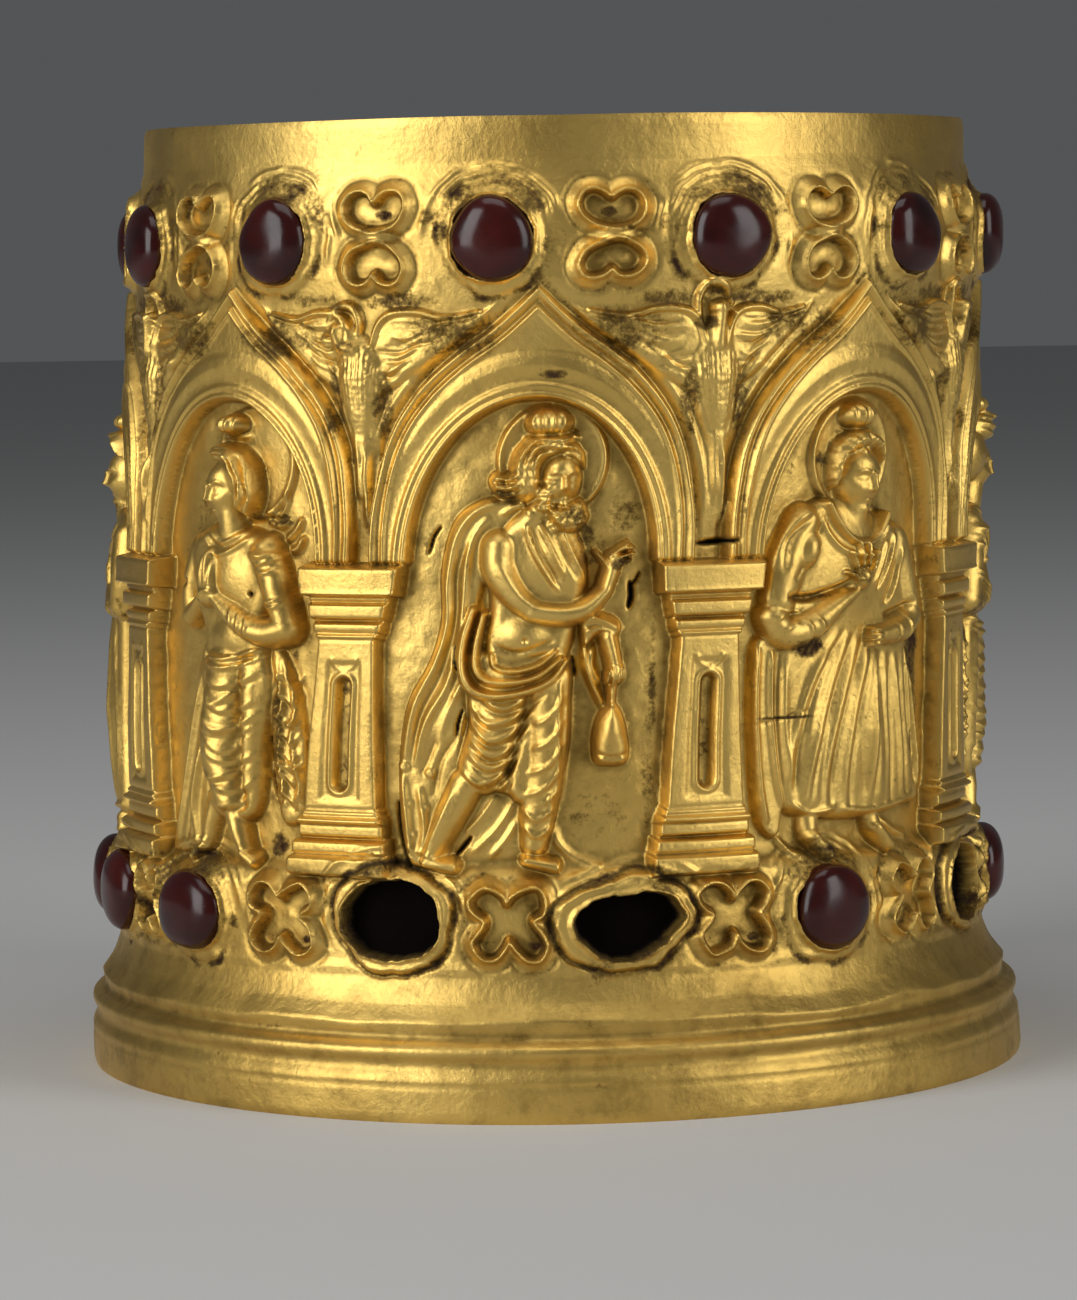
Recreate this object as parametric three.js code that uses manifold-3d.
// A gold reliquary casket: a round box of beaten sheet gold, open at the top, set with garnets.
// Eight figures stand under ogee arches between panelled pilasters, with eagles in the spandrels.
// A band of garnets and quatrefoils runs above the arcade and another below it, over a moulded foot.
// Millimetres, +Z up, origin at the centre of the underside. Angle 0 faces -Y and grows towards +X.
import * as THREE from "three";
import { mergeVertices } from "three/addons/utils/BufferGeometryUtils.js";
import Module from "manifold-3d";

// ---- Driving dimensions ----
const HEIGHT = 65.4;
const FOOT_RADIUS = 33;
const RIM_RADIUS = 28.75;
const GROUND_RADIUS = 29.1; // the ground of the niches
const ARC_RADIUS = 30; // the radius at which widths round the wall are measured
const SHEET = 0.9; // thickness of the gold
const FLOOR_TOP = 1;
const SIDES = 40; // of the round wall

// Bands and members of the arcade, as heights above the table.
const LOWER_BAND = { bottom: 9.2, middle: 12.7, top: 15.4, radius: 30.6 };
const UPPER_BAND = { bottom: 54.3, middle: 57.3, top: 60.2, radius: 29.75 };
const PILASTER = { bottom: 15.7, baseTop: 20.3, neck: 31.6, top: 36.4, raised: 1.4 };
const ARCH = { spring: 36.3, halfWidth: 8.2, rise: 10.6, bandWidth: 2.9, apex: 53.9, turn: 11.4 };

// Pilaster axes in degrees. The first lies behind the left edge of the front.
const PILASTER_ANGLES = [-67, -25, 21, 67, 112, 158, 203, 248];

// The upper stones are spaced evenly. The lower ones were placed by eye, and three of them are lost.
const UPPER_STONES = { count: 12, first: -8, width: 5.2, height: 5.3 };
const FRONT_SETTINGS = [
  { angle: -90, width: 6, height: 5.2 },
  { angle: -72, width: 6, height: 5.4 },
  { angle: -51, width: 6, height: 5.2 },
  { angle: -19, width: 6.6, height: 5, lost: true },
  { angle: 9.5, width: 7.2, height: 4.3, lost: true },
  { angle: 37.5, width: 5.6, height: 5.4 },
  { angle: 69, width: 6, height: 5, lost: true },
  { angle: 90, width: 6, height: 5.2 },
];
const BACK_STONES = { count: 7, from: 90, to: 270, width: 5.8, height: 5.2 };
const STONE = { proud: 1.9, gap: 0.3, pocketDepth: 1.2, sides: 8 };
const COLLET = { width: 0.7, raised: 0.6 };
const QUATREFOIL = { halfWidth: 2.5, halfHeight: 2.6, edge: 0.35, middle: 0.95 };

const GOLD = new THREE.MeshStandardMaterial({ color: 0xd9aa45, roughness: 0.3, metalness: 1 });
const GARNET = new THREE.MeshStandardMaterial({ color: 0x3a0d0c, roughness: 0.15, metalness: 0 });

const { degToRad, euclideanModulo, lerp } = THREE.MathUtils;

// ---- Solids ----
const wasm = await Module();
wasm.setup();

function toSolid(geometry) {
  const bare = geometry.clone();
  bare.deleteAttribute("normal");
  bare.deleteAttribute("uv");
  const merged = mergeVertices(bare, 1e-3);
  const triVerts = new Uint32Array(merged.index.array);
  return new wasm.Manifold(new wasm.Mesh({ numProp: 3, vertProperties: merged.attributes.position.array, triVerts }));
}

function toGeometry(solid) {
  const { vertProperties, triVerts } = solid.getMesh();
  return new THREE.BufferGeometry()
    .setAttribute("position", new THREE.BufferAttribute(vertProperties, 3))
    .setIndex(new THREE.BufferAttribute(triVerts, 1));
}

const joined = (solids) => solids.reduce((whole, solid) => whole.add(solid));

// ---- Relief is modelled flat, with x across, y up and z out of the ground, and then bent round ----
const ROOT = -0.4; // how far a raised shape reaches into the sheet behind it
const SUNK = 0.1; // its widest line lies this far inside the faceted wall

const FRONT_SPACE = toSolid(new THREE.BoxGeometry(60, 160, 20).translate(0, 0, 10 + ROOT));
const inFront = (solid) => solid.intersect(FRONT_SPACE);

// A round boss, as a head or a chest: a six-sided ball, stretched so that its flats reach the sizes given.
function oval([x, y], halfWidth, halfHeight, raised) {
  const ball = new THREE.SphereGeometry(1, 6, 3).scale(1.12 * halfWidth, halfHeight, 1.3 * raised);
  return toSolid(ball.translate(x, y, 0));
}

// A tapered bar with pointed ends, as an arm or a leg.
function limb([ax, ay], [bx, by], startRadius, endRadius, raised) {
  const length = Math.hypot(bx - ax, by - ay);
  const profile = [[0, -0.8 * startRadius], [startRadius, 0], [endRadius, length], [0, length + 0.8 * endRadius]];
  const bar = new THREE.LatheGeometry(profile.map(([r, y]) => new THREE.Vector2(r, y)), 4);
  return toSolid(
    bar
      .scale(1, 1, raised / startRadius)
      .rotateZ(Math.atan2(by - ay, bx - ax) - Math.PI / 2)
      .translate(ax, ay, 0),
  );
}

// Hanging cloth: a flattened column from a top to a hem, fluted with folds.
function cloth([topX, topY], [hemX, hemY], topHalf, hemHalf, folds, raised) {
  const sides = 2 * (2 * folds - 1);
  const column = new THREE.CylinderGeometry(1, 1, 1, sides);
  const place = column.getAttribute("position");
  for (let i = 0; i < place.count; i += 1) {
    const down = 0.5 - place.getY(i);
    const turn = Math.atan2(place.getX(i), place.getZ(i));
    const fold = Math.round((turn * sides) / (2 * Math.PI)) % 2 ? 0.84 : 1;
    const half = lerp(topHalf, hemHalf, down) * fold;
    const onRim = Math.hypot(place.getX(i), place.getZ(i)) > 0.5 ? 1 : 0;
    place.setXYZ(
      i,
      lerp(topX, hemX, down) + onRim * half * Math.sin(turn),
      lerp(topY, hemY, down),
      onRim * raised * fold * Math.cos(turn),
    );
  }
  return toSolid(column);
}

// A flat plate of any outline.
function plate(shape, raised, curveSegments = 8) {
  const geometry = new THREE.ExtrudeGeometry(shape, { depth: raised - ROOT, bevelEnabled: false, curveSegments });
  return toSolid(geometry.translate(0, 0, ROOT));
}

const disc = ([x, y], radius, raised) => plate(new THREE.Shape().absarc(x, y, radius, 0, 2 * Math.PI), raised, 10);

// A solid through closed rings of points, each ring of equal length, with both ends closed.
function loft(rings) {
  const size = rings[0].length;
  const triangles = [];
  for (let i = 0; i + 1 < rings.length; i += 1)
    for (let j = 0; j < size; j += 1) {
      const [a, b] = [i * size + j, i * size + ((j + 1) % size)];
      triangles.push(a, b, b + size, a, b + size, a + size);
    }
  const last = (rings.length - 1) * size;
  for (let j = 1; j + 1 < size; j += 1) triangles.push(0, j + 1, j, last, last + j, last + j + 1);
  const place = new THREE.Float32BufferAttribute(rings.flat(2), 3);
  return toSolid(new THREE.BufferGeometry().setAttribute("position", place).setIndex(triangles));
}

// A block with its lower and upper edges of different widths.
function block(bottom, top, bottomHalf, topHalf, raised) {
  const corners = [[-bottomHalf, bottom], [bottomHalf, bottom], [topHalf, top], [-topHalf, top]];
  return plate(new THREE.Shape(corners.map(([x, y]) => new THREE.Vector2(x, y))), raised);
}

// Bends a flat shape round the wall, with its ground at the given radius and its middle at the given angle.
function bentRound(solid, degrees, radius = GROUND_RADIUS) {
  const geometry = toGeometry(solid);
  const place = geometry.getAttribute("position");
  for (let i = 0; i < place.count; i += 1) {
    const angle = degToRad(degrees) + place.getX(i) / ARC_RADIUS;
    const out = radius - SUNK + place.getZ(i);
    place.setXYZ(i, out * Math.sin(angle), -out * Math.cos(angle), place.getY(i));
  }
  return toSolid(geometry);
}

// ---- Figures, placed from the middle of their niche ----
function headOf({ head, bun, halo }) {
  return [disc(halo, 3.9, 0.45), oval(head, 1.75, 2.4, 1.9), oval(bun, 1.5, 1.1, 1.4)];
}

// A bearded ascetic with a cloak behind him and a water flask in his lowered hand.
function ascetic() {
  return [
    ...headOf({ head: [1.3, 41.4], bun: [0.9, 44.8], halo: [1, 43] }),
    cloth([-3.9, 39.8], [-7, 16.6], 2.2, 2.5, 1.5, 0.8),
    oval([-0.7, 35.4], 2.9, 4.6, 1.4),
    limb([-2.4, 37.3], [0.2, 33.3], 1.25, 0.95, 2.1),
    limb([0.2, 33.3], [5.9, 36.4], 0.95, 0.7, 2),
    limb([3.6, 32.4], [5.3, 28.4], 1.2, 0.6, 1.5),
    oval([5.3, 25.2], 1.3, 2.2, 1.4),
    cloth([-1.1, 31], [-2.6, 20.4], 3.5, 2.8, 2, 1.9),
    limb([-4.4, 21.8], [-6.6, 16.9], 1.2, 0.75, 1.7),
    limb([0.1, 21], [-0.2, 16.9], 1.1, 0.8, 1.6),
  ];
}

// A robed teacher with one hand raised before his chest.
function teacher() {
  return [
    ...headOf({ head: [-0.4, 41.2], bun: [-0.7, 44.9], halo: [-0.5, 42.6] }),
    oval([-1.2, 35.4], 4.6, 4.4, 1.4),
    limb([-5.3, 37.4], [-7, 32.2], 1.6, 1.5, 1.9),
    limb([-7, 32], [-1, 34.2], 1.4, 0.9, 2.2),
    limb([3.2, 36.6], [5, 32], 1.7, 1.3, 1.7),
    limb([5, 31.6], [1.4, 30.6], 1.2, 1, 2.1),
    cloth([-1.2, 33.4], [-1.4, 18.6], 4.8, 5.6, 2, 1.8),
    limb([-5, 18.6], [-4.4, 16.9], 1, 0.9, 1.5),
    limb([1.8, 18.6], [2.4, 16.9], 1, 0.9, 1.5),
  ];
}

// A bejewelled worshipper with his palms together. He turns left for side 1 and right for side -1.
function worshipper(side, turbaned) {
  const at = (x, y) => [side * x, y];
  return [
    ...headOf({ head: at(-0.8, 41.2), bun: at(0.4, 45), halo: at(2.1, 42.6) }),
    turbaned ? oval(at(-0.3, 43.4), 2.3, 1.3, 2.2) : limb(at(0.4, 43), at(4, 39.6), 1.1, 0.9, 1.6),
    oval(at(0.9, 34.8), 3.6, 4.5, 1.4),
    limb(at(4.3, 36.2), at(6, 31.7), 1.3, 1.15, 2),
    limb(at(6, 31.5), at(-0.9, 34.6), 1.15, 0.9, 2.2),
    cloth(at(-2.4, 30.6), at(-5.2, 17.4), 1.4, 1.9, 1.5, 0.8),
    cloth(at(4.8, 30.4), at(6.4, 19.4), 1.5, 1.9, 1.5, 0.9),
    cloth(at(1.2, 30.6), at(1, 19.6), 2.6, 2, 1.5, 2),
    limb(at(1.5, 19.8), at(2.6, 16.6), 1, 0.8, 1.6),
  ];
}

// One of the plainer figures of the back: robed, with his hands together.
function attendant() {
  return [
    ...headOf({ head: [0, 41.2], bun: [0, 44.9], halo: [0, 42.6] }),
    oval([0, 35], 4, 4.4, 1.4),
    limb([-4.6, 36.4], [0, 32.6], 1.4, 1, 2),
    limb([4.6, 36.4], [0, 32.6], 1.4, 1, 2),
    cloth([0, 32.4], [0, 17.2], 3.6, 4.8, 2, 1.8),
  ];
}

// ---- Architecture of the arcade ----
function pilaster() {
  const { bottom, baseTop, neck, top, raised } = PILASTER;
  const panel = new THREE.BoxGeometry(1.5, neck - baseTop - 2.4, 2).translate(0, (neck + baseTop) / 2, raised + 0.55);
  return joined([
    block(bottom, 17.9, 4.2, 4, raised + 0.6),
    block(17.8, baseTop, 3.6, 3.4, raised + 0.3),
    block(baseTop - 0.1, neck, 3.1, 2.6, raised),
    block(neck - 0.1, 34.6, 2.9, 3.2, raised + 0.25),
    block(34.5, top, 3.7, 3.7, raised + 0.6),
  ]).subtract(toSolid(panel));
}

// A point on the outer line of an arch, round below and drawn up to a point above. It runs from 0 at the right
// foot, through 1 at the apex, to 2 at the left foot.
function ogeeAt(along) {
  const { spring, halfWidth, bandWidth, apex, turn } = ARCH;
  const round = (up) => (halfWidth + bandWidth) * Math.sqrt(1 - (up / 14.6) ** 2);
  const height = along < 1 ? along : 2 - along;
  const up = (apex - spring) * Math.sin((Math.PI / 2) * height) ** 1.2;
  const left = Math.max(0, (apex - spring - up) / (apex - spring - turn));
  const half = up < turn ? round(up) : round(turn) * left ** 1.15;
  return [along < 1 ? half : -half, spring + up];
}

// A point on the round inner line of the arch, widened by the given amount.
function roundAt(along, widened = 0) {
  const { spring, halfWidth, rise } = ARCH;
  const turn = (Math.PI * along) / 2;
  return [(halfWidth + widened) * Math.cos(turn), spring + (rise + widened) * Math.sin(turn)];
}

// The arch over one niche, with a roll along its inner edge.
function arch(steps = 8) {
  return loft(
    Array.from({ length: steps + 1 }, (_, i) => {
      const along = (2 * i) / steps;
      const [inner, shoulder, outer] = [roundAt(along), roundAt(along, 0.9), ogeeAt(along)];
      return [[...inner, ROOT], [...inner, 1.4], [...shoulder, 0.95], [...outer, 0.95], [...outer, ROOT]];
    }),
  );
}

// An eagle with spread wings, over the pilaster between two arches.
function eagle() {
  const half = [[0.6, 42], [1.5, 49.2], [3.6, 51.2], [6.2, 54], [1.1, 52.2], [0.7, 53.3]];
  const mirrored = half.map(([x, y]) => [-x, y]).reverse();
  const outline = [...half, ...mirrored].map(([x, y]) => new THREE.Vector2(x, y));
  return plate(new THREE.Shape(outline), 0.8).add(limb([0, 51], [0, 44], 1.2, 0.8, 1.6));
}

// ---- Settings and quatrefoils ----
const upperSettings = Array.from({ length: UPPER_STONES.count }, (_, i) => ({
  ...UPPER_STONES,
  angle: UPPER_STONES.first + (360 / UPPER_STONES.count) * i,
}));
const backSettings = Array.from({ length: BACK_STONES.count }, (_, i) => ({
  ...BACK_STONES,
  angle: lerp(BACK_STONES.from, BACK_STONES.to, (i + 1) / (BACK_STONES.count + 1)),
}));
const BANDS = [
  { name: "upper", band: UPPER_BAND, settings: upperSettings },
  { name: "lower", band: LOWER_BAND, settings: [...FRONT_SETTINGS, ...backSettings] },
];

// A turned outline with an oval plan, facing out.
function turned(profile, halfWidth, halfHeight) {
  const points = profile.map(([r, y]) => new THREE.Vector2(r, y));
  return new THREE.LatheGeometry(points, STONE.sides).rotateX(Math.PI / 2).scale(halfWidth, halfHeight, 1);
}

// The socket of a stone: a collet round a blind pocket, and the plug to clear the wall for it.
function socket({ width, height }) {
  const ring = (wider, z) =>
    Array.from({ length: STONE.sides }, (_, i) => {
      const turn = (2 * Math.PI * i) / STONE.sides;
      return [(width / 2 + wider) * Math.cos(turn), (height / 2 + wider) * Math.sin(turn), z];
    });
  const floor = -STONE.pocketDepth;
  const [outer, middle, inner] = [COLLET.width, (COLLET.width + STONE.gap) / 2, STONE.gap];
  return {
    plug: loft([ring(middle, floor - 0.2), ring(middle, 2)]),
    cup: loft([ring(outer, floor - 0.4), ring(outer, COLLET.raised), ring(inner, COLLET.raised), ring(inner, floor)]),
  };
}

// A cabochon garnet: a flat back in the pocket, a girdle and a dome.
function cabochon({ width, height }) {
  const { proud, gap, pocketDepth } = STONE;
  const back = gap - pocketDepth;
  const profile = [[0, back], [1, back], [1, 0.25 * proud], [0.66, 0.8 * proud], [0, proud]];
  return turned(profile, width / 2, height / 2);
}

// Four lobes on the diagonals, waisted between them and domed in the middle.
function quatrefoil(halfWidth, lobes = 4) {
  const { halfHeight, edge, middle } = QUATREFOIL;
  const ring = (shrink, z) =>
    Array.from({ length: 2 * lobes }, (_, i) => {
      const turn = (Math.PI * i) / lobes;
      const reach = (i % 2 ? 1.2 : 0.72) * shrink;
      return [halfWidth * reach * Math.cos(turn), halfHeight * reach * Math.sin(turn), z];
    });
  return loft([ring(1, ROOT), ring(1, edge), ring(0, middle)]);
}

const liftedBy = (solid, up) => solid.translate(0, up, 0);

function bandReliefs({ band, settings }) {
  return settings.flatMap((setting, i) => {
    const next = settings[(i + 1) % settings.length];
    const turn = euclideanModulo(next.angle - setting.angle, 360);
    const room = (degToRad(turn) * ARC_RADIUS - (setting.width + next.width) / 2) / 2 - COLLET.width;
    const foil = quatrefoil(Math.min(QUATREFOIL.halfWidth, room));
    return bentRound(liftedBy(foil, band.middle), setting.angle + turn / 2, band.radius);
  });
}

function bandSockets({ band, settings }) {
  return settings.map((setting) => {
    const { plug, cup } = socket(setting);
    return [plug, cup].map((solid) => bentRound(liftedBy(solid, band.middle), setting.angle, band.radius));
  });
}

// ---- The wall ----
// Its section as [radius, height], up the outside, down the inside and back under the floor.
function wallProfile() {
  const inside = GROUND_RADIUS - SHEET;
  const footInside = FOOT_RADIUS - SHEET - 0.6;
  return [
    [0, 0],
    [FOOT_RADIUS, 0],
    [FOOT_RADIUS, 2.1],
    [FOOT_RADIUS - 0.5, 2.8],
    [FOOT_RADIUS + 0.05, 4],
    [FOOT_RADIUS - 0.7, 5.2],
    [LOWER_BAND.radius + 0.1, 8.2],
    [LOWER_BAND.radius, LOWER_BAND.top],
    [GROUND_RADIUS, LOWER_BAND.top + 0.8],
    [GROUND_RADIUS, UPPER_BAND.bottom - 0.9],
    [UPPER_BAND.radius, UPPER_BAND.bottom],
    [UPPER_BAND.radius, UPPER_BAND.top],
    [RIM_RADIUS, UPPER_BAND.top + 0.7],
    [RIM_RADIUS, HEIGHT],
    [RIM_RADIUS - SHEET, HEIGHT],
    [inside, 8.4],
    [footInside, 4.6],
    [footInside, FLOOR_TOP],
    [0, FLOOR_TOP],
  ];
}

function goldBody() {
  const points = wallProfile().map(([r, z]) => new THREE.Vector2(r, z));
  const wall = toSolid(new THREE.LatheGeometry(points, SIDES).rotateX(Math.PI / 2));
  const front = [worshipper(1, false), ascetic(), teacher(), worshipper(-1, true)];
  const back = [attendant(), attendant(), attendant(), attendant()];
  const figures = [...front, ...back].map(joined).map(inFront);
  const [post, span, bird] = [pilaster(), arch(), inFront(eagle())];
  const reliefs = PILASTER_ANGLES.flatMap((angle, bay) => {
    const next = PILASTER_ANGLES[bay + 1] ?? PILASTER_ANGLES[0] + 360;
    const niche = (angle + next) / 2;
    return [
      bentRound(post, angle),
      bentRound(bird, angle),
      bentRound(span, niche),
      bentRound(figures[bay], niche),
    ];
  });
  let body = joined([wall, ...reliefs, ...BANDS.flatMap(bandReliefs)]);
  for (const [plug, cup] of BANDS.flatMap(bandSockets)) body = body.subtract(plug).add(cup);
  const geometry = toGeometry(body);
  geometry.computeVertexNormals();
  const mesh = new THREE.Mesh(geometry, GOLD);
  mesh.name = "gold_body";
  return mesh;
}

function garnet(setting, band, name) {
  const mesh = new THREE.Mesh(cabochon(setting), GARNET);
  const angle = degToRad(setting.angle);
  const across = new THREE.Vector3(Math.cos(angle), Math.sin(angle), 0);
  const up = new THREE.Vector3(0, 0, 1);
  const out = new THREE.Vector3(Math.sin(angle), -Math.cos(angle), 0);
  mesh.setRotationFromMatrix(new THREE.Matrix4().makeBasis(across, up, out));
  mesh.position.copy(out).multiplyScalar(band.radius).setZ(band.middle);
  mesh.name = name;
  return mesh;
}

const casket = new THREE.Group();
casket.add(goldBody());
for (const { name, band, settings } of BANDS)
  settings.forEach((setting, i) => {
    if (!setting.lost) casket.add(garnet(setting, band, `${name}_garnet_${i + 1}`));
  });

export default casket;
